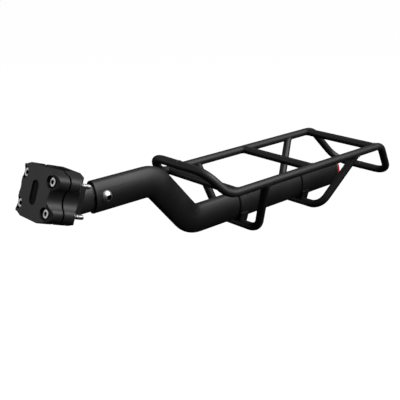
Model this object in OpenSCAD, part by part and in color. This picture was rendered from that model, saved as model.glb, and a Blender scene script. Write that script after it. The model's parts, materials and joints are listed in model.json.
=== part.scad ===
// Seatpost luggage rack: a bolted clamp, an oval cantilever beam and a welded rod platform.
// +X points rearward, +Z up. The origin is the centre of the clamp's bore on the seatpost axis.

/* [Seatpost clamp] */
// Lean of the seatpost axis from vertical, in degrees
clamp_tilt = 19.5; // [15:0.5:24]
// Diameter of the seatpost the shims grip
post_d = 27.2; // [25:0.1:28.6]
// Thickness of each rubber shim
shim_t = 1.2; // [0.8:0.1:1.6]
// Height of each shim along the seatpost
shim_h = 47; // [40:1:52]
// Wall between the bore and the waist at each side of the clamp
waist_wall = 8.7; // [7:0.1:10]
// Open slit between the two clamp halves
split_gap = 2; // [1:0.1:3]
// How far the clamp's flat front reaches past the bolt axes at each side
face_side = 2.4; // [0:0.1:4]
// How far the clamp's flat back reaches past the bolt axes at each side
back_side = 0.2; // [0:0.1:2]
// How far the clamp's crest reaches past the bolt axes at top and bottom
crest_rim = 11.1; // [9.5:0.1:13]
// Width of the crest, the flat top and bottom of the clamp
crest_w = 29; // [24:0.5:34]
// Least wall between the bore and the face of the front plate
front_wall = 2.6; // [2.4:0.2:5]

/* [Clamp bolts] */
// Wall between the bore and each bolt's thread
bolt_wall = 4.5; // [4:0.1:7]
// Bolt spacing along the seatpost
bolt_rise = 30.4; // [28:0.2:34]
// Thread diameter of the clamp bolts
bolt_d = 5; // [4:0.5:6]
// Head diameter of the clamp bolts
bolt_head_d = 8.5; // [7:0.1:10]
// Head height of the clamp bolts
bolt_head_h = 5; // [4:0.1:6]
// Outer diameter of the boss round each bolt
boss_d = 16.6; // [15:0.2:18]
// Distance from the seatpost axis to the back of the rear bosses
boss_reach = 19.4; // [17:0.2:24]
// Length of thread that stands out behind the rear bosses
bolt_tail = 8.6; // [4:0.2:12]
// Distance from the seatpost axis to where the neck's flare meets the spigot
flare_reach = 36; // [30:0.5:40]

/* [Beam] */
// Height of the oval beam section
beam_h = 34.8; // [32:0.2:40]
// Width of the oval beam section
beam_w = 20; // [18:0.5:24]
// Radius of the rounded top and bottom of the oval
oval_tip_r = 7; // [6:0.5:8]
// Wall of the beam tube
beam_wall = 2.3; // [1.6:0.1:3]
// How far the beam's front axis lies below the clamp's centre
beam_drop = 15.1; // [12:0.1:20]
// How far the beam steps down between its two bends
beam_step = 60.4; // [50:0.2:70]
// Distance from the seatpost to the beam's front end
beam_front_x = 48; // [44:1:60]
// Distance from the seatpost to the upper bend
upper_bend_x = 128.1; // [120:0.5:145]
// Length of the slope between the bends, measured level
bend_run = 54; // [46:0.5:64]
// Centreline radius of both beam bends
beam_bend_r = 28; // [24:1:34]
// How far the beam reaches behind the rear stay
beam_overhang = 66; // [40:1:90]

/* [Spigot and cross bolt] */
// Gap all round between the spigot and the beam tube
spigot_gap = 0.15; // [0.1:0.05:0.4]
// Length of the spigot inside the beam
spigot_engage = 36; // [30:1:50]
// Distance from the beam's front end to the cross bolt
cross_inset = 12.6; // [11:0.2:18]
// Thread diameter of the cross bolt
cross_d = 8; // [6:0.5:8]
// Diameter of the cross bolt's button head
cross_head_d = 13.6; // [11:0.2:14]
// Height of the cross bolt's button head
cross_head_h = 4.6; // [3.5:0.1:5]

/* [Platform] */
// Diameter of the platform rods
rod_d = 10; // [8:0.5:11]
// Spacing between the two side rails
rail_spread = 114.4; // [100:1:130]
// Height of the rail axes above the beam's lower axis
rail_rise = 43.2; // [40:0.5:54]
// Distance from the beam's lower bend to the front crossbar
platform_setback = 18; // [14:0.5:40]
// Spacing from the front crossbar to the middle crossbar
front_bay = 128.6; // [120:0.5:140]
// Spacing from the middle crossbar to the rear crossbar
rear_bay = 129.2; // [120:0.5:140]
// Bend radius of the rails and hoops
rod_bend_r = 25; // [20:1:26]

/* [Hoops] */
// Straight rail between the front crossbar's axis and the bend ahead of it
front_straight = 0.5; // [0.4:0.1:6]
// Forward run of the raised front hoop
front_hoop_run = 21.4; // [18:0.2:28]
// Rise of the front hoop above the rails
front_hoop_rise = 26.1; // [22:0.2:32]
// Spacing between the corners of the front hoop
front_hoop_w = 84; // [80:1:92]
// Straight rail between the rear crossbar's axis and the bend behind it
rear_straight = 0.9; // [0.4:0.1:6]
// Rearward run of the rear hoop
rear_hoop_run = 41.8; // [38:0.2:50]
// Drop of the rear hoop below the rails
rear_hoop_drop = 48.1; // [42:0.2:56]
// Spacing between the corners of the rear hoop
rear_hoop_w = 88.8; // [84:1:98]

/* [Stays] */
// Distance from the front crossbar to the top of the front stay
front_stay_x = 45.7; // [40:0.5:55]
// Rearward run of the front stay from its top to its bottom bar
front_stay_run = 15.8; // [10:0.2:22]
// Distance from the rear crossbar forward to the top of the rear stay
rear_stay_x = 39.2; // [34:0.5:50]
// Forward run of the rear stay from its top to its bottom bar
rear_stay_run = 42; // [36:0.5:50]
// Spacing between the bottom corners of the front stay
front_stay_w = 64.4; // [60:0.5:72]
// Spacing between the bottom corners of the rear stay
rear_stay_w = 68.2; // [62:0.5:76]
// Bend radius of the stays
stay_bend_r = 20; // [16:1:20]
// Wall of the saddles that carry the stays
saddle_t = 1.6; // [1.4:0.1:3]
// Length of each saddle along the beam
saddle_len = 12.6; // [11:0.2:16]

/* [Reflector] */
// Thickness of the reflector's black housing
housing_t = 3; // [2:0.5:5]
// Thickness of the red lens
lens_t = 5; // [3:0.5:8]

/* [Hidden] */
$fn = 96;

// Finishes
frame_black = "#1c1c1d";
clamp_black = "#38383a";
steel = "#c9ccd0";
rubber_black = "#141414";
lens_red = "#c4161c";

// Clearances and small sizes
slip = 0.05;            // radial gap of a turning or seated fit
bolt_clear = 0.3;       // radial gap round a bolt in a plain hole
over = 1;               // how far a cut runs past a face
rim_gap = 0.5;          // radial gap round the cross bolt's head and washer in their flats
pocket_gap = 1.6;       // radial gap round a clamp bolt's head in its pocket
tail_gap = 0.8;         // gap between the neck's flare and the lower bolts' thread
flare_low = 18;         // how far the flare reaches below and above the bore's centre
flare_high = 11;
blend = 0.1;            // how far one outline runs into the next, so that they meet cleanly
head_recess = 2.6;      // how deep the clamp bolts' heads sit below the clamp's front
badge_depth = 1.4;      // plain recess in the clamp's front
badge_w = 11;
badge_h = 24;
cope_trim = 2.5;        // how far a coped rod stops short of the rail's axis
foot_share = 0.8;       // half-width of a saddle's foot, as a share of the stay rod's diameter
plug_l = 12;            // length of the reflector's plug inside the beam
plug_wall = 2;
lens_inset = 1;         // how far the lens lies inside the housing's edge
seat_depth = 1;         // flat spot on the beam's side for the cross bolt's head and washer
spigot_crown = 0.6;     // height of the crown on the spigot's top and bottom
slide_in = 10;          // how far the beam can be pushed on from where it is bolted
lap = 0.1;              // how far a straight run laps into the bend beside it
bend_slim = 0.997;      // section of a bend, as a share of the straight section

// Clamp sizes
bore_r = post_d / 2 + shim_t;
bolt_spread = 2 * (bore_r + bolt_wall) + bolt_d;
plate_reach = bore_r + front_wall;
clamp_height = bolt_rise + 2 * crest_rim;
bolt_y = bolt_spread / 2;
bolt_z = bolt_rise / 2;
boss_r = boss_d / 2;
waist_y = bore_r + waist_wall;
waist_in = waist_y - bolt_y;

// The waist is a hollow arc that runs tangent into the bosses above and below it
scallop_r = (waist_in * waist_in + bolt_z * bolt_z - boss_r * boss_r) / (2 * (boss_r - waist_in));
scallop_y = waist_y + scallop_r;
blend_y = bolt_y + boss_r * (scallop_y - bolt_y) / (scallop_r + boss_r);
flare_w = bolt_spread - bolt_d - 2 * tail_gap;
head_seat_x = bolt_head_h + head_recess - plate_reach;
bolt_tip_x = boss_reach + bolt_tail;
neck_x = 9;             // where the neck starts inside the clamp

// Oval section: tip arcs of oval_tip_r joined by two side arcs of oval_side_r
oval_a = beam_h / 2;
oval_b = beam_w / 2;
oval_tip_x = oval_a - oval_tip_r;
oval_rise = oval_b * oval_b + oval_tip_x * oval_tip_x - oval_tip_r * oval_tip_r;
oval_side_r = oval_rise / (2 * (oval_b - oval_tip_r));

// Levels
upper_z = -beam_drop;
lower_z = upper_z - beam_step;
rail_z = lower_z + rail_rise;
stay_z = lower_z - oval_a - saddle_t - rod_d / 2;
front_hoop_z = rail_z + front_hoop_rise;
rear_hoop_z = rail_z - rear_hoop_drop;

// Stations along the rack
lower_bend_x = upper_bend_x + bend_run;
cross_x = beam_front_x + cross_inset;
spigot_end_x = beam_front_x + spigot_engage;
front_bar_x = lower_bend_x + platform_setback;
mid_bar_x = front_bar_x + front_bay;
rear_bar_x = mid_bar_x + rear_bay;
front_leg = [-front_hoop_run, (front_hoop_w - rail_spread) / 2, front_hoop_rise];
rear_leg = [rear_hoop_run, (rear_hoop_w - rail_spread) / 2, -rear_hoop_drop];
front_corner_x = front_bar_x - front_straight - rod_bend_r * tan(acos(-front_leg[0] / norm(front_leg)) / 2);
rear_corner_x = rear_bar_x + rear_straight + rod_bend_r * tan(acos(rear_leg[0] / norm(rear_leg)) / 2);
front_hoop_x = front_corner_x - front_hoop_run;
rear_hoop_x = rear_corner_x + rear_hoop_run;
front_stay_top_x = front_bar_x + front_stay_x;
front_stay_bar_x = front_stay_top_x + front_stay_run;
rear_stay_top_x = rear_bar_x - rear_stay_x;
rear_stay_bar_x = rear_stay_top_x - rear_stay_run;
beam_end_x = rear_stay_bar_x + beam_overhang;
rail_y = rail_spread / 2;

// Cross bolt stack, from the head's seat on the left to the nut on the right
cross_seat_y = oval_b - seat_depth;
washer_t = 1.6;
washer_d = 2 * cross_d;
nut_t = cross_d;
nut_flats = 1.625 * cross_d;
thread_out = 1.5;       // thread that stands out of the nut
cross_end_y = cross_seat_y + washer_t + nut_t + thread_out;

// Hexagon keys and nuts, measured across the flats; a hexagon is hex_corner times wider across its corners
hex_corner = 2 / sqrt(3);
bolt_hex = 0.47 * bolt_head_d;
bolt_hex_depth = 0.6 * bolt_head_h;
cross_hex = 0.625 * cross_d;
cross_hex_depth = 0.7 * cross_head_h;

function unit(v) = v / norm(v);

function frame_at(p, x, y, z) = [
  [x[0], y[0], z[0], p[0]],
  [x[1], y[1], z[1], p[1]],
  [x[2], y[2], z[2], p[2]],
  [0, 0, 0, 1]];

// The frame of a run that leaves point a towards b, with its local Y near `side`
function run_axes(a, b, side) = let (z = unit(b - a), x = unit(cross(side, z))) [x, cross(z, x), z];

// Extrudes the 2D child from a to b
module straight(a, b, side) {
  f = run_axes(a, b, side);
  multmatrix(frame_at(a, f[0], f[1], f[2])) linear_extrude(norm(b - a)) children();
}

function bend_angle(a, b, c) = acos(unit(b - a) * unit(c - b));
function setback(path, i, r) = i == 0 || i == len(path) - 1 ? 0
  : r * tan(bend_angle(path[i - 1], path[i], path[i + 1]) / 2);

// Sweeps the 2D child along straight runs joined by bends of radius r. Each run is drawn in the frame where
// the last bend ended, and `axes` holds that frame's three directions in the rack's own frame. The runs lap
// into the bends, which are a touch slimmer, as bent tube is.
module swept_from(path, r, i, axes) {
  length = norm(path[i + 1] - path[i]) - setback(path, i, r) - setback(path, i + 1, r);
  lap_in = i > 0 ? lap : 0;
  lap_out = i + 2 < len(path) ? lap : 0;
  translate([0, 0, -lap_in]) linear_extrude(length + lap_in + lap_out) children();
  if (i + 2 < len(path)) {
    ahead = unit(path[i + 2] - path[i + 1]);
    roll = atan2(ahead * axes[1], ahead * axes[0]);
    turn = bend_angle(path[i], path[i + 1], path[i + 2]);
    inward = axes[0] * cos(roll) + axes[1] * sin(roll);
    next_axes = [inward * cos(turn) - axes[2] * sin(turn), cross(axes[2], inward), ahead];
    translate([0, 0, length]) rotate([0, 0, roll]) translate([r, 0, 0]) {
      rotate([90, 0, 180]) rotate_extrude(angle = turn) translate([r, 0]) scale(bend_slim) children();
      rotate([0, turn, 0]) translate([-r, 0, 0]) swept_from(path, r, i + 1, next_axes) children();
    }
  }
}

module swept(path, r, side) {
  f = run_axes(path[0], path[1], side);
  multmatrix(frame_at(path[0], f[0], f[1], f[2])) swept_from(path, r, 0, f) children();
}

// Oval section, tall along X, grown or shrunk all round by `grow`
module oval(grow = 0) {
  join_x = oval_tip_x + (oval_tip_r + grow) * oval_tip_x / (oval_side_r - oval_tip_r);
  intersection() {
    translate([0, oval_b - oval_side_r]) circle(oval_side_r + grow);
    translate([0, oval_side_r - oval_b]) circle(oval_side_r + grow);
    square([2 * join_x, 4 * oval_b], center = true);
  }
  for (s = [-1, 1]) translate([s * oval_tip_x, 0]) circle(oval_tip_r + grow);
}

// A level length of the oval section from x0 to x1 at height z
module oval_bar(x0, x1, z, grow) {
  straight([x0, 0, z], [x1, 0, z], [0, 1, 0]) oval(grow);
}

// Everything in the clamp is drawn upright and leaned with the seatpost
module in_clamp() {
  rotate([0, clamp_tilt, 0]) children();
}

module along_x(x0, x1, r) {
  translate([x0, 0, 0]) rotate([0, 90, 0]) cylinder(h = x1 - x0, r = r);
}

module at_bolts() {
  for (y = [-1, 1], z = [-1, 1]) translate([0, y * bolt_y, z * bolt_z]) children();
}

// One side of the split: s is -1 for the front half and 1 for the rear half
module half_space(s, reach) {
  translate([s > 0 ? split_gap / 2 : -reach, -clamp_height, -clamp_height])
    cube([reach - split_gap / 2, 2 * clamp_height, 2 * clamp_height]);
}

// The clamp seen from the front: a crest between four bosses, with a hollow waist at each side
module front_outline() {
  crest_y = crest_w / 2;
  crest_z = clamp_height / 2;
  shoulder_z = bolt_z + boss_r - blend;
  difference() {
    union() {
      polygon([[-crest_y, -crest_z], [crest_y, -crest_z], [bolt_y, -shoulder_z], [blend_y, -bolt_z],
        [blend_y, bolt_z], [bolt_y, shoulder_z], [crest_y, crest_z], [-crest_y, crest_z],
        [-bolt_y, shoulder_z], [-blend_y, bolt_z], [-blend_y, -bolt_z], [-bolt_y, -shoulder_z]]);
      for (y = [-1, 1], z = [-1, 1]) translate([y * bolt_y, z * bolt_z]) circle(boss_r);
    }
    for (s = [-1, 1]) translate([s * scallop_y, 0]) circle(scallop_r + blend);
  }
}

// The clamp seen along the seatpost: a block with its four upright edges cut off at 45 degrees
module plan_outline() {
  face = bolt_y + face_side;
  back = bolt_y + back_side;
  side = bolt_y + boss_r + over;
  front_x = side - face - plate_reach;
  back_x = boss_reach + back - side;
  polygon([[-plate_reach, -face], [front_x, -side], [back_x, -side], [boss_reach, -back],
    [boss_reach, back], [back_x, side], [front_x, side], [-plate_reach, face]]);
}

// The length of the clamp's block from x0 to x1
module block(x0, x1) {
  intersection() {
    translate([x0, 0, 0]) rotate([90, 0, 90]) linear_extrude(x1 - x0) front_outline();
    linear_extrude(clamp_height + over, center = true) plan_outline();
  }
}

module badge_outline() {
  straight_h = badge_h - badge_w;
  square([badge_w, straight_h], center = true);
  for (s = [-1, 1]) translate([0, s * straight_h / 2]) circle(d = badge_w);
}

// Front half of the clamp, with a pocket round each bolt's head
module clamp_cap() {
  color(clamp_black) in_clamp() difference() {
    block(-plate_reach, -split_gap / 2);
    cylinder(h = 2 * clamp_height, r = bore_r, center = true);
    at_bolts() along_x(-plate_reach - over, over, bolt_d / 2 + bolt_clear);
    at_bolts() along_x(-plate_reach - over, head_seat_x, bolt_head_d / 2 + pocket_gap);
    translate([-plate_reach - over, 0, 0]) rotate([90, 0, 90])
      linear_extrude(over + badge_depth) badge_outline();
  }
}

// The spigot's sides follow the beam's bore; its top and bottom are cut back to a shallow crown
module spigot_outline() {
  side_r = oval_side_r - beam_wall - spigot_gap;
  tip_r = oval_tip_r - beam_wall - spigot_gap;
  join = [oval_tip_x, 0] + tip_r * unit([oval_tip_x, oval_side_r - oval_b]);
  intersection() {
    translate([0, oval_b - oval_side_r]) circle(side_r);
    translate([0, oval_side_r - oval_b]) circle(side_r);
    circle(norm(join) + spigot_crown);
  }
}

// Open-ended slot for the cross bolt, which lets the beam be pushed on and drawn off
module spigot_slot() {
  slot_d = cross_d + 2 * bolt_clear;
  x0 = cross_x - slide_in;
  translate([0, beam_w, upper_z]) rotate([90, 0, 0]) linear_extrude(2 * beam_w) {
    translate([x0, 0]) circle(d = slot_d);
    translate([x0, -slot_d / 2]) square([spigot_end_x + over - x0, slot_d]);
  }
}

// Where the neck spreads out to meet the rear half of the clamp
module flare() {
  root = flare_w / 2;
  tip = oval_b - beam_wall - spigot_gap - blend;
  translate([0, 0, -flare_low]) linear_extrude(flare_low + flare_high)
    polygon([[boss_reach - over, -root], [boss_reach, -root], [flare_reach, -tip],
      [flare_reach, tip], [boss_reach, root], [boss_reach - over, root]]);
}

// Rear half of the clamp, forged in one piece with the neck and the oval spigot
module clamp_body() {
  color(clamp_black) difference() {
    union() {
      in_clamp() block(split_gap / 2, boss_reach);
      in_clamp() flare();
      straight([neck_x, 0, upper_z], [spigot_end_x, 0, upper_z], [0, 1, 0]) spigot_outline();
    }
    in_clamp() cylinder(h = 2 * clamp_height, r = bore_r, center = true);
    in_clamp() at_bolts() along_x(-over, boss_reach + over, bolt_d / 2 + slip);
    spigot_slot();
  }
}

// Thin half sleeve of rubber between the clamp and the seatpost
module shim(s) {
  color(rubber_black) in_clamp() intersection() {
    difference() {
      cylinder(h = shim_h, r = bore_r, center = true);
      cylinder(h = shim_h + over, r = post_d / 2, center = true);
    }
    half_space(s, bore_r + over);
  }
}

module shim_rear() { shim(1); }
module shim_front() { shim(-1); }

// Socket-head bolt along +X with its head's underside at head_seat_x
module clamp_bolt(y, z) {
  color(steel) in_clamp() translate([0, y * bolt_y, z * bolt_z]) difference() {
    union() {
      along_x(head_seat_x - bolt_head_h, head_seat_x, bolt_head_d / 2);
      along_x(head_seat_x, bolt_tip_x, bolt_d / 2);
    }
    translate([head_seat_x - bolt_head_h - over, 0, 0]) rotate([0, 90, 0])
      cylinder(h = bolt_hex_depth + over, d = bolt_hex * hex_corner, $fn = 6);
  }
}

module clamp_bolt_upper_left() { clamp_bolt(-1, 1); }
module clamp_bolt_upper_right() { clamp_bolt(1, 1); }
module clamp_bolt_lower_left() { clamp_bolt(-1, -1); }
module clamp_bolt_lower_right() { clamp_bolt(1, -1); }

// Cylinder across the beam from y0 to y1 at the cross bolt
module across(y0, y1, d, sides = $fn) {
  translate([cross_x, y1, upper_z]) rotate([90, 0, 0]) cylinder(h = y1 - y0, d = d, $fn = sides);
}

function beam_path(extra) = [
  [beam_front_x - extra, 0, upper_z],
  [upper_bend_x, 0, upper_z],
  [lower_bend_x, 0, lower_z],
  [beam_end_x + extra, 0, lower_z]];

// Bent oval tube that carries the platform
module beam_tube() {
  color(frame_black) difference() {
    swept(beam_path(0), beam_bend_r, [0, 1, 0]) oval();
    swept(beam_path(over), beam_bend_r, [0, 1, 0]) oval(-beam_wall);
    across(-beam_w, beam_w, cross_d + 2 * bolt_clear);
    across(-beam_w, -cross_seat_y, cross_head_d + 2 * rim_gap);
    across(cross_seat_y, beam_w, washer_d + 2 * rim_gap);
  }
}

// Button-head bolt through the beam and the spigot
module cross_bolt() {
  dome_r = (cross_head_d * cross_head_d / 4 + cross_head_h * cross_head_h) / (2 * cross_head_h);
  color(steel) difference() {
    union() {
      intersection() {
        translate([cross_x, dome_r - cross_seat_y - cross_head_h, upper_z]) sphere(dome_r);
        across(-cross_seat_y - cross_head_h - over, -cross_seat_y, cross_head_d);
      }
      across(-cross_seat_y, cross_end_y, cross_d);
    }
    across(-cross_seat_y - cross_head_h - over, cross_hex_depth - cross_seat_y - cross_head_h,
      cross_hex * hex_corner, 6);
  }
}

module cross_washer() {
  color(steel) difference() {
    across(cross_seat_y, cross_seat_y + washer_t, washer_d);
    across(cross_seat_y - over, cross_seat_y + washer_t + over, cross_d + 2 * slip);
  }
}

module cross_nut() {
  y0 = cross_seat_y + washer_t;
  color(steel) difference() {
    across(y0, y0 + nut_t, nut_flats * hex_corner, 6);
    across(y0 - over, y0 + nut_t + over, cross_d + 2 * slip);
  }
}

// One side of the platform: half of the front hoop, a rail and half of the rear hoop, in one bent rod
module side_rod(s) {
  color(frame_black) swept([
    [front_hoop_x, 0, front_hoop_z],
    [front_hoop_x, s * front_hoop_w / 2, front_hoop_z],
    [front_corner_x, s * rail_y, rail_z],
    [rear_corner_x, s * rail_y, rail_z],
    [rear_hoop_x, s * rear_hoop_w / 2, rear_hoop_z],
    [rear_hoop_x, 0, rear_hoop_z]], rod_bend_r, [0, 0, 1]) circle(d = rod_d);
}

module side_rod_left() { side_rod(-1); }
module side_rod_right() { side_rod(1); }

// The round surface of both rails, which crossbars and stays are coped to
module rails() {
  for (s = [-1, 1]) translate([front_corner_x, s * rail_y, rail_z]) rotate([0, 90, 0])
    cylinder(h = rear_corner_x - front_corner_x, d = rod_d);
}

module crossbar(x) {
  reach = rail_y - cope_trim;
  color(frame_black) difference() {
    straight([x, -reach, rail_z], [x, reach, rail_z], [0, 0, 1]) circle(d = rod_d);
    rails();
  }
}

module crossbar_front() { crossbar(front_bar_x); }
module crossbar_middle() { crossbar(mid_bar_x); }
module crossbar_rear() { crossbar(rear_bar_x); }

// U-shaped stay that hangs from both rails and passes under the beam
module stay(top_x, bar_x, w) {
  top = [top_x, rail_y, rail_z];
  corner = [bar_x, w / 2, stay_z];
  start = top + unit(corner - top) * cope_trim;
  flip = [1, -1, 1];
  color(frame_black) difference() {
    swept([[for (k = [0 : 2]) start[k] * flip[k]], [for (k = [0 : 2]) corner[k] * flip[k]], corner, start],
      stay_bend_r, [0, 0, 1]) circle(d = rod_d);
    rails();
  }
}

module stay_front() { stay(front_stay_top_x, front_stay_bar_x, front_stay_w); }
module stay_rear() { stay(rear_stay_top_x, rear_stay_bar_x, rear_stay_w); }

// Sleeve round the beam with a tapered foot that sits over the stay's bottom bar
module saddle(bar_x) {
  shoulder = oval_b + saddle_t;
  foot = rod_d * foot_share;
  foot_z = stay_z + rod_d / 4;
  shoulder_z = lower_z - oval_a / 2;
  x0 = bar_x - saddle_len / 2;
  color(frame_black) difference() {
    union() {
      oval_bar(x0, x0 + saddle_len, lower_z, saddle_t);
      translate([x0, 0, 0]) rotate([90, 0, 90]) linear_extrude(saddle_len)
        polygon([[-shoulder, shoulder_z], [-foot, foot_z], [foot, foot_z], [shoulder, shoulder_z]]);
    }
    oval_bar(x0 - over, x0 + saddle_len + over, lower_z, 0);
    translate([bar_x, 0, stay_z]) rotate([90, 0, 0]) cylinder(h = 2 * beam_w, d = rod_d, center = true);
  }
}

module saddle_front() { saddle(front_stay_bar_x); }
module saddle_rear() { saddle(rear_stay_bar_x); }

// Black housing that plugs the beam's open end
module reflector_housing() {
  color(rubber_black) difference() {
    union() {
      oval_bar(beam_end_x, beam_end_x + housing_t, lower_z, 0);
      oval_bar(beam_end_x - plug_l, beam_end_x, lower_z, -beam_wall - slip);
    }
    oval_bar(beam_end_x - plug_l - over, beam_end_x, lower_z, -beam_wall - plug_wall);
  }
}

module reflector_lens() {
  color(lens_red) oval_bar(beam_end_x + housing_t, beam_end_x + housing_t + lens_t, lower_z, -lens_inset);
}

clamp_body();
clamp_cap();
shim_rear();
shim_front();
clamp_bolt_upper_left();
clamp_bolt_upper_right();
clamp_bolt_lower_left();
clamp_bolt_lower_right();
beam_tube();
cross_bolt();
cross_washer();
cross_nut();
side_rod_left();
side_rod_right();
crossbar_front();
crossbar_middle();
crossbar_rear();
stay_front();
stay_rear();
saddle_front();
saddle_rear();
reflector_housing();
reflector_lens();
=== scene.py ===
import json
import math

import bmesh
import bpy
from mathutils import Matrix, Vector


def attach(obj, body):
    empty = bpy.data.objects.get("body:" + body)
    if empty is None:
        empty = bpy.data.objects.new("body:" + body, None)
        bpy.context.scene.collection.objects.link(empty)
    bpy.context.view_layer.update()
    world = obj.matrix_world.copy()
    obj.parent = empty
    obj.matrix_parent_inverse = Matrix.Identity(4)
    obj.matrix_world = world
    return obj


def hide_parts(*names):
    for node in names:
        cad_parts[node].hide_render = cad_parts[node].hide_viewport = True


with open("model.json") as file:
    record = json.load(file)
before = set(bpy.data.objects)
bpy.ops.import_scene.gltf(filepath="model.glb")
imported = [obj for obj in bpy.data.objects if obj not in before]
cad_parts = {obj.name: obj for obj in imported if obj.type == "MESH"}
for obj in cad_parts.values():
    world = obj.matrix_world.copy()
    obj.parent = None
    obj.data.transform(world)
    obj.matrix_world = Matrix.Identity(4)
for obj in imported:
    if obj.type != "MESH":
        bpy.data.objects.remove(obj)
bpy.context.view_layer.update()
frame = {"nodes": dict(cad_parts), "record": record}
nodes = frame["nodes"]


# Camera. It stands ahead of the clamp on the rider's left, a little above the rack, and looks
# down its length.
camera_data = bpy.data.cameras.new("camera")
camera = bpy.data.objects.new("camera", camera_data)
bpy.context.scene.collection.objects.link(camera)
camera_data.sensor_width = 36.0
camera_data.lens = 68.16
camera_data.clip_end = 60.0
camera_right = Vector((0.72701, -0.68660, -0.00659))
camera_up = Vector((0.23504, 0.23984, 0.94193))
camera_back = Vector((-0.64515, -0.68634, 0.33574))
camera.matrix_world = Matrix.Translation((-0.36268, -0.59574, 0.23623)) @ Matrix(
    (camera_right, camera_up, camera_back)).transposed().to_4x4()
bpy.context.scene.camera = camera


# Floor. A plain white sheet of card well below the rack, since the rack hangs from a seatpost.
# It glows a little and keeps its light to itself, so the undersides of the tubes stay dark.
def add_node(tree, kind, settings=None, **inputs):
    node = tree.nodes.new(kind)
    for name, value in (settings or {}).items():
        setattr(node, name, value)
    for name, value in inputs.items():
        socket = node.inputs[name.replace("_", " ")]
        if isinstance(value, bpy.types.NodeSocket):
            tree.links.new(value, socket)
        else:
            socket.default_value = value
    return node


def linear(code):
    parts = [int(code[i:i + 2], 16) / 255 for i in (1, 3, 5)]
    return tuple(c / 12.92 if c <= 0.04045 else ((c + 0.055) / 1.055) ** 2.4
                 for c in parts) + (1.0,)


def saved(name, mesh):
    data = bpy.data.meshes.new(name)
    mesh.to_mesh(data)
    mesh.free()
    return data


floor_z = -0.32
floor_half = 14.0
card_glow = 0.97
floor_mesh = bmesh.new()
bmesh.ops.create_grid(floor_mesh, x_segments=2, y_segments=2, size=floor_half)
bmesh.ops.translate(floor_mesh, verts=floor_mesh.verts, vec=(0.2, 0, floor_z))
floor = bpy.data.objects.new("floor", saved("floor", floor_mesh))
bpy.context.scene.collection.objects.link(floor)
floor.visible_glossy = False
floor.visible_diffuse = False
card = bpy.data.materials.new("matt_white_card")
card.use_nodes = True
card_shader = card.node_tree.nodes["Principled BSDF"]
card_shader.inputs["Base Color"].default_value = linear("#505050")
card_shader.inputs["Roughness"].default_value = 0.9
card_shader.inputs["Specular IOR Level"].default_value = 0.0
card_shader.inputs["Emission Color"].default_value = (1, 1, 1, 1)
card_shader.inputs["Emission Strength"].default_value = card_glow
floor.data.materials.append(card)


# Studio light. A dim tent, one broad softbox high on the near side and a weaker one ahead of the
# clamp. The tubes take a bright line from the softbox along their upper side and fall to black
# below. Sizes and distances are in metres, powers in watts.
tent_low = 0.012
tent_high = 0.28
world = bpy.data.worlds.new("studio")
bpy.context.scene.world = world
world.use_nodes = True
sky = world.node_tree
sky.nodes.clear()
direction = add_node(sky, "ShaderNodeTexCoord")
split = add_node(sky, "ShaderNodeSeparateXYZ", Vector=direction.outputs["Generated"])
height = add_node(sky, "ShaderNodeMapRange", Value=split.outputs["Z"], From_Min=-0.1,
                  From_Max=0.9, To_Min=tent_low, To_Max=tent_high)
path = add_node(sky, "ShaderNodeLightPath")
strength = add_node(sky, "ShaderNodeMix", {"data_type": "FLOAT"},
                    Factor=path.outputs["Is Camera Ray"], A=height.outputs["Result"], B=1.0)
background = add_node(sky, "ShaderNodeBackground", Color=(1, 1, 1, 1),
                      Strength=strength.outputs["Result"])
add_node(sky, "ShaderNodeOutputWorld", Surface=background.outputs["Background"])


def softbox(name, target, towards, distance, size, watts):
    data = bpy.data.lights.new(name, "AREA")
    data.shape = "SQUARE"
    data.size = size
    data.energy = watts
    lamp = bpy.data.objects.new(name, data)
    bpy.context.scene.collection.objects.link(lamp)
    lamp.location = Vector(target) + Vector(towards).normalized() * distance
    lamp.rotation_euler = Vector(towards).to_track_quat("Z", "Y").to_euler()


softbox("softbox_overhead", target=(0.25, 0, -0.05), towards=(0.3, -0.65, 0.72),
        distance=1.7, size=1.7, watts=44)
softbox("softbox_ahead", target=(0.1, 0, -0.05), towards=(-0.75, 0.6, 0.25),
        distance=1.8, size=1.1, watts=3.6)
bpy.context.scene.view_settings.view_transform = "Standard"


# Finishes. One material for each slot of the record, each with a fine grain and a slow change of
# tone. Grain, wave and prism sizes are in millimetres.
def start_material(name):
    material = bpy.data.materials.new(name)
    material.use_nodes = True
    return material, material.node_tree, material.node_tree.nodes["Principled BSDF"]


def skin(tree, shader, grain_mm, height_mm, base, spread, rough):
    wave_mm = 40.0
    rough_spread = 0.03
    where = add_node(tree, "ShaderNodeTexCoord")
    fine = add_node(tree, "ShaderNodeTexNoise", Vector=where.outputs["Object"],
                    Scale=1000.0 / grain_mm, Detail=3.0)
    broad = add_node(tree, "ShaderNodeTexNoise", Vector=where.outputs["Object"],
                     Scale=1000.0 / wave_mm, Detail=2.0)
    tone = add_node(tree, "ShaderNodeValToRGB", Fac=broad.outputs["Fac"])
    tone.color_ramp.elements[0].position = 0.35
    tone.color_ramp.elements[0].color = linear(base)
    tone.color_ramp.elements[1].position = 0.65
    tone.color_ramp.elements[1].color = linear(spread)
    tree.links.new(tone.outputs["Color"], shader.inputs["Base Color"])
    gloss = add_node(tree, "ShaderNodeMapRange", Value=broad.outputs["Fac"], From_Min=0.3,
                     From_Max=0.7, To_Min=rough - rough_spread, To_Max=rough + rough_spread)
    tree.links.new(gloss.outputs["Result"], shader.inputs["Roughness"])
    bump = add_node(tree, "ShaderNodeBump", Height=fine.outputs["Fac"], Strength=0.25,
                    Distance=height_mm / 1000.0)
    tree.links.new(bump.outputs["Normal"], shader.inputs["Normal"])


powder_coat, tree, shader = start_material("black_powder_coat")
skin(tree, shader, 0.9, 0.03, "#121213", "#161617", 0.5)
shader.inputs["IOR"].default_value = 1.5

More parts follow.
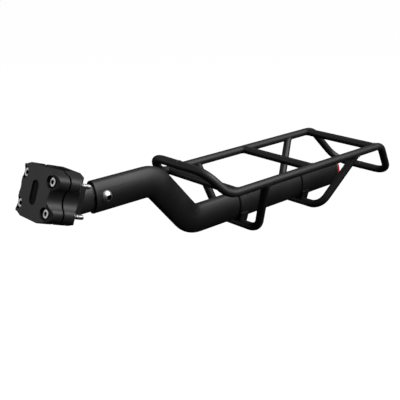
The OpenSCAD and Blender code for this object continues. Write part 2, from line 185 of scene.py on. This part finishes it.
anodised, tree, shader = start_material("black_anodised_aluminium")
skin(tree, shader, 0.35, 0.015, "#1d1d1e", "#232324", 0.42)
shader.inputs["IOR"].default_value = 1.5

plated_steel, tree, shader = start_material("bright_plated_steel")
skin(tree, shader, 0.5, 0.006, "#d2d4d6", "#dfe0e2", 0.34)
shader.inputs["Metallic"].default_value = 1.0

shim_rubber, tree, shader = start_material("black_rubber")
skin(tree, shader, 0.5, 0.02, "#101010", "#141414", 0.75)

housing_plastic, tree, shader = start_material("black_abs")
skin(tree, shader, 0.6, 0.02, "#111112", "#151516", 0.5)

# The lens is moulded with rows of small corner prisms behind a clear red face.
lens_plastic, tree, shader = start_material("red_acrylic")
prism_mm = 2.4
prism_deep_mm = 1.2
where = add_node(tree, "ShaderNodeTexCoord")
prisms = add_node(tree, "ShaderNodeTexVoronoi", {"distance": "CHEBYCHEV"},
                  Vector=where.outputs["Object"], Scale=1000.0 / prism_mm, Randomness=0.0)
facets = add_node(tree, "ShaderNodeBump", Height=prisms.outputs["Distance"], Strength=0.7,
                  Distance=prism_deep_mm / 1000)
tree.links.new(facets.outputs["Normal"], shader.inputs["Normal"])
shader.inputs["Base Color"].default_value = linear("#c63a3e")
shader.inputs["Roughness"].default_value = 0.25
shader.inputs["Coat Weight"].default_value = 0.6

finishes = {"frame_powder_coat": powder_coat, "clamp_anodised": anodised,
            "bright_steel": plated_steel, "shim_rubber": shim_rubber,
            "housing_plastic": housing_plastic, "lens_plastic": lens_plastic}
slots = {entry["node"]: entry["material_slot"] for entry in frame["record"]["subparts"]}
bodies = {node: body for body, members in frame["record"]["behaviour"]["bodies"].items()
          for node in members}
for name, piece in nodes.items():
    piece.data.materials.clear()
    piece.data.materials.append(finishes[slots[name]])


# Clamp. Both halves are cut from aluminium, with every outer edge broken by half a millimetre.
# A finished copy keeps its node's shape: doubled points are merged, flat faces joined and round
# ones shaded smooth.
def place(name, data, body, finish):
    piece = bpy.data.objects.new(name, data)
    bpy.context.scene.collection.objects.link(piece)
    piece.data.materials.clear()
    piece.data.materials.append(finishes[finish])
    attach(piece, body)
    return piece


def finished(node, edge_mm, crease=math.radians(28), reshape=None):
    merge = 0.00002
    flat = math.radians(0.4)
    mesh = bmesh.new()
    mesh.from_mesh(nodes[node].data)
    mesh.transform(nodes[node].matrix_world)
    bmesh.ops.remove_doubles(mesh, verts=mesh.verts, dist=merge)
    bmesh.ops.dissolve_limit(mesh, angle_limit=flat, verts=mesh.verts, edges=mesh.edges)
    if reshape:
        reshape(mesh)
    for face in mesh.faces:
        face.smooth = True
    for edge in mesh.edges:
        edge.smooth = len(edge.link_faces) == 2 and edge.calc_face_angle(0) < crease
    piece = place(node + "_finish", saved(node + "_finish", mesh), bodies[node], slots[node])
    if edge_mm:
        bevel = piece.modifiers.new("broken_edges", "BEVEL")
        bevel.width = edge_mm / 1000
        bevel.segments = 2
        bevel.limit_method = "ANGLE"
        bevel.angle_limit = crease
        bevel.harden_normals = True
        bevel.miter_outer = "MITER_ARC"
    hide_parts(node)
    return piece


finished("clamp_body", edge_mm=0.5)
cap = finished("clamp_cap", edge_mm=0.5)

# The recess in the front is left matt inside and painted darker than the face round it, as
# painted shade in the recess. Its limits are measured along and across the clamp, which tilts
# forward with the seatpost.
matt_painted_shade, tree, shader = start_material("painted_shade_black_matt")
skin(tree, shader, 0.4, 0.02, "#08080a", "#0b0b0d", 0.75)
shader.inputs["Specular IOR Level"].default_value = 0.25
cap.data.materials.append(matt_painted_shade)
seatpost_tilt = math.radians(19.5)
tilt = Matrix.Rotation(seatpost_tilt, 4, "Y")
recess_front = -0.0173
recess_back = -0.0159
recess_half_w = 0.0056
recess_half_h = 0.0122
# Faces within the recess limits take the painted shade.
for face in cap.data.polygons:
    spot = tilt.inverted() @ face.center
    inside = abs(spot.y) < recess_half_w and abs(spot.z) < recess_half_h
    if inside and recess_front < spot.x < recess_back:
        face.material_index = 1


# Frame. The beam, rods, crossbars and stays are drawn tube and rod, so their round sides run
# smooth. The beam's and the saddles' sawn ends have their edges broken.
finished("beam_tube", edge_mm=0.25)
for node in ("side_rod_left", "side_rod_right", "crossbar_front", "crossbar_middle",
             "crossbar_rear", "stay_front", "stay_rear"):
    finished(node, edge_mm=0)
for node in ("saddle_front", "saddle_rear"):
    finished(node, edge_mm=0.3)


# Weld beads. Each runs round the line where one tube meets another and has the ripples of a
# hand-laid weld. Where the two tubes' skins run level the bead thins out. Sizes are in metres.
def bead(name, points, thick, ripple_every=0.0022, taper=False):
    thin = 0.25
    ripple = 0.16
    curve = bpy.data.curves.new(name, "CURVE")
    curve.dimensions = "3D"
    curve.bevel_depth = thick
    curve.bevel_resolution = 3
    line = curve.splines.new("POLY")
    line.points.add(len(points) - 1)
    line.use_cyclic_u = True
    along = 0.0
    last = points[0]
    for step, (spot, point) in enumerate(zip(line.points, points)):
        turn = 2 * math.pi * step / len(points)
        share = thin + (1 - thin) * abs(math.cos(turn)) if taper else 1.0
        along += (point - last).length
        last = point
        spot.co = (*point, 1.0)
        spot.radius = share * (1.0 + ripple * math.sin(2 * math.pi * along / ripple_every))
    line.use_smooth = True
    return place(name, curve, "rack", "frame_powder_coat")


def meeting_line(start, direction, rail_y, steps=96):
    """Where the skin of a rod that sets out from start meets the rail along X at rail_y."""
    direction = Vector(direction).normalized()
    side = direction.cross(Vector((1, 0, 0))).normalized()
    up = side.cross(direction)
    line = []
    for step in range(steps):
        turn = 2 * math.pi * step / steps
        skin_point = Vector(start) + rod_r * (math.cos(turn) * up + math.sin(turn) * side)
        off_y = skin_point.y - rail_y
        off_z = skin_point.z - rail_z
        a = direction.y ** 2 + direction.z ** 2
        b = off_y * direction.y + off_z * direction.z
        c = off_y ** 2 + off_z ** 2 - rod_r ** 2
        travel = (-b - math.sqrt(max(b * b - a * c, 0.0))) / a
        line.append(skin_point + travel * direction)
    return line


rod_r = 0.005
rail_out = 0.0572
rail_z = -0.0323
stay_z = -0.0995
fillet = 0.0011
hands = (("left", -1), ("right", 1))
for label, bar_x in (("front", 0.2001), ("middle", 0.3287), ("rear", 0.4579)):
    for hand, side in hands:
        line = meeting_line((bar_x, 0, rail_z), (0, side, 0), side * rail_out)
        bead(f"weld_crossbar_{label}_{hand}", line, fillet, taper=True)
for label, foot_x, foot_y, top_x in (("front", 0.2616, 0.0322, 0.2458),
                                     ("rear", 0.3767, 0.0341, 0.4187)):
    for hand, side in hands:
        start = Vector((foot_x, side * foot_y, stay_z))
        end = Vector((top_x, side * rail_out, rail_z))
        line = meeting_line(start, end - start, side * rail_out)
        bead(f"weld_stay_{label}_{hand}", line, fillet, taper=True)


# The hoops' centre joints are ground nearly flush, and each saddle is welded to the beam all
# round both its edges. The front weld of each saddle is heavier and matt, and painted near black
# as painted shade for the shadowed joint at the saddle's front edge.
def ring(centre, radius, steps=72):
    turns = [2 * math.pi * step / steps for step in range(steps)]
    return [Vector(centre) + radius * Vector((math.cos(turn), 0, math.sin(turn)))
            for turn in turns]


hoop_sunk = 0.0002
hoop_bead = 0.0006
for label, centre in (("front", (0.1653, 0, -0.0062)), ("rear", (0.5123, 0, -0.0804))):
    bead(f"weld_hoop_{label}", ring(centre, rod_r - hoop_sunk), hoop_bead)


def oval_line(x, grow, steps=24):
    """The beam's oval section at x, grown outwards."""
    half_h = 0.0174
    half_w = 0.010
    tip_r = 0.007
    tip_z = half_h - tip_r
    side_r = (half_w ** 2 + tip_z ** 2 - tip_r ** 2) / (2 * (half_w - tip_r))
    turn = math.atan2(tip_z, side_r - half_w)
    line = []
    for step in range(steps):
        angle = -turn + 2 * turn * step / steps
        line.append((half_w - side_r + (side_r + grow) * math.cos(angle),
                     (side_r + grow) * math.sin(angle)))
    for step in range(steps):
        angle = turn + (math.pi - 2 * turn) * step / steps
        line.append(((tip_r + grow) * math.cos(angle),
                     tip_z + (tip_r + grow) * math.sin(angle)))
    return [Vector((x, y, lower_z + z)) for y, z in line + [(-y, -z) for y, z in line]]


lower_z = -0.0755
front_weld = 0.0015
front_weld_lead = 0.0004
front_weld_grow = 0.0001
back_weld = 0.0010
back_weld_grow = 0.0003
for label, low_x, high_x in (("front", 0.2553, 0.2679), ("rear", 0.3704, 0.3830)):
    front_shade_weld = bead(f"painted_shade_weld_saddle_{label}_ahead",
                     oval_line(low_x - front_weld_lead, front_weld_grow), front_weld)
    # Painted shade: the front weld takes the near-black matt paint of the shadowed joint.
    front_shade_weld.data.materials[0] = matt_painted_shade
    bead(f"painted_shade_weld_saddle_{label}_behind", oval_line(high_x, back_weld_grow), back_weld)


# Clamp bolts. M5 socket screws of plated steel; the thread shows where the screws stand out
# behind the bosses. Their sockets are forged, and inside they are painted dark steel as painted
# shade deep in the socket.
socket_shade_steel, tree, shader = start_material("painted_shade_socket_metal")
skin(tree, shader, 0.4, 0.01, "#2c2d2f", "#36383a", 0.5)
shader.inputs["Metallic"].default_value = 1.0


# Faces inside the hex socket take the dark steel: painted shade.
def paint_socket_shade(piece, at, axis, hex_r, depth):
    near = 0.0001
    past = 0.0002
    piece.data.materials.append(socket_shade_steel)
    for face in piece.data.polygons:
        along = (face.center - at).dot(axis)
        out = (face.center - at - along * axis).length
        if near < along < depth + past and out < hex_r:
            face.material_index = 1


def turn_down(mesh, at, axis, share):
    """Everything beyond at becomes thinner round axis, as the core of a thread is."""
    step = 0.0002
    for cut in (at, at + axis * step):
        everything = mesh.verts[:] + mesh.edges[:] + mesh.faces[:]
        bmesh.ops.bisect_plane(mesh, geom=everything, plane_co=cut, plane_no=axis)
    for vert in mesh.verts:
        along = (vert.co - at).dot(axis)
        if along > step / 2:
            middle = at + axis * along
            vert.co = middle + (vert.co - middle) * share


def thread(name, at, axis, core_r, crest_r, pitch, turns, body):
    """A ridge of triangular section wound along axis from at."""
    steps = 24
    ridge_share = 0.42
    mesh = bmesh.new()
    side = axis.orthogonal().normalized()
    half = axis * pitch * ridge_share
    ridge = [mesh.verts.new(at + side * core_r - half), mesh.verts.new(at + side * crest_r),
             mesh.verts.new(at + side * core_r + half)]
    edges = [mesh.edges.new(ridge[:2]), mesh.edges.new(ridge[1:])]
    bmesh.ops.spin(mesh, geom=ridge + edges, cent=at, axis=axis, dvec=axis * pitch / steps,
                   angle=2 * math.pi * turns, steps=int(steps * turns), use_merge=False)
    bmesh.ops.recalc_face_normals(mesh, faces=mesh.faces)
    place(name, saved(name, mesh), body, "bright_steel")


axis = (tilt @ Vector((1, 0, 0))).normalized()
bolt_r = 0.0025
bolt_pitch = 0.0008
bolt_turns = 8.5
bolt_out = 0.0218
bolt_up = 0.0152
bolt_hex_r = 0.0023
bolt_hex_deep = 0.003
core_share = 0.92
core_sunk = 0.00005
crest_short = 0.00002
head_face = -0.0148
boss_back = 0.0194
for node in [name for name in nodes if name.startswith("clamp_bolt_")]:
    y = bolt_out * (-1 if "left" in node else 1)
    z = bolt_up * (1 if "upper" in node else -1)
    neck = tilt @ Vector((boss_back, y, z))
    piece = finished(node, edge_mm=0.25,
                     reshape=lambda mesh: turn_down(mesh, neck, axis, core_share))
    paint_socket_shade(piece, tilt @ Vector((head_face, y, z)), axis, bolt_hex_r, bolt_hex_deep)
    thread(node.replace("clamp_bolt", "bolt_thread"), neck + axis * bolt_pitch, axis,
           bolt_r * core_share - core_sunk, bolt_r - crest_short, bolt_pitch, bolt_turns,
           bodies[node])


# Cross bolt. A button-head screw with its washer and nut; a short end of thread stands out of
# the nut. Nut and washer have their corners turned down.
cross_x = 0.0606
cross_z = -0.0151
cross_r = 0.004
cross_pitch = 0.00125
cross_turns = 0.6
cross_head = -0.0136
cross_hex_r = 0.0028
cross_hex_deep = 0.0032
nut_face = 0.0186
nut_clear = 0.0006
neck = Vector((cross_x, nut_face, cross_z))
cross_axis = Vector((0, 1, 0))
piece = finished("cross_bolt", edge_mm=0.2,
                 reshape=lambda mesh: turn_down(mesh, neck, cross_axis, core_share))
# The socket is painted dark inside: painted shade.
paint_socket_shade(piece, Vector((cross_x, cross_head, cross_z)), cross_axis, cross_hex_r,
              cross_hex_deep)
thread("cross_bolt_thread", neck + cross_axis * nut_clear, cross_axis,
       cross_r * core_share - core_sunk, cross_r - crest_short, cross_pitch, cross_turns,
       "beam_bolt")
finished("cross_washer", edge_mm=0.3)
finished("cross_nut", edge_mm=0.5)


# Reflector. A black housing plugs the beam's end and carries the red lens, both with softened
# rims.
finished("reflector_housing", edge_mm=0.4)
finished("reflector_lens", edge_mm=0.6)
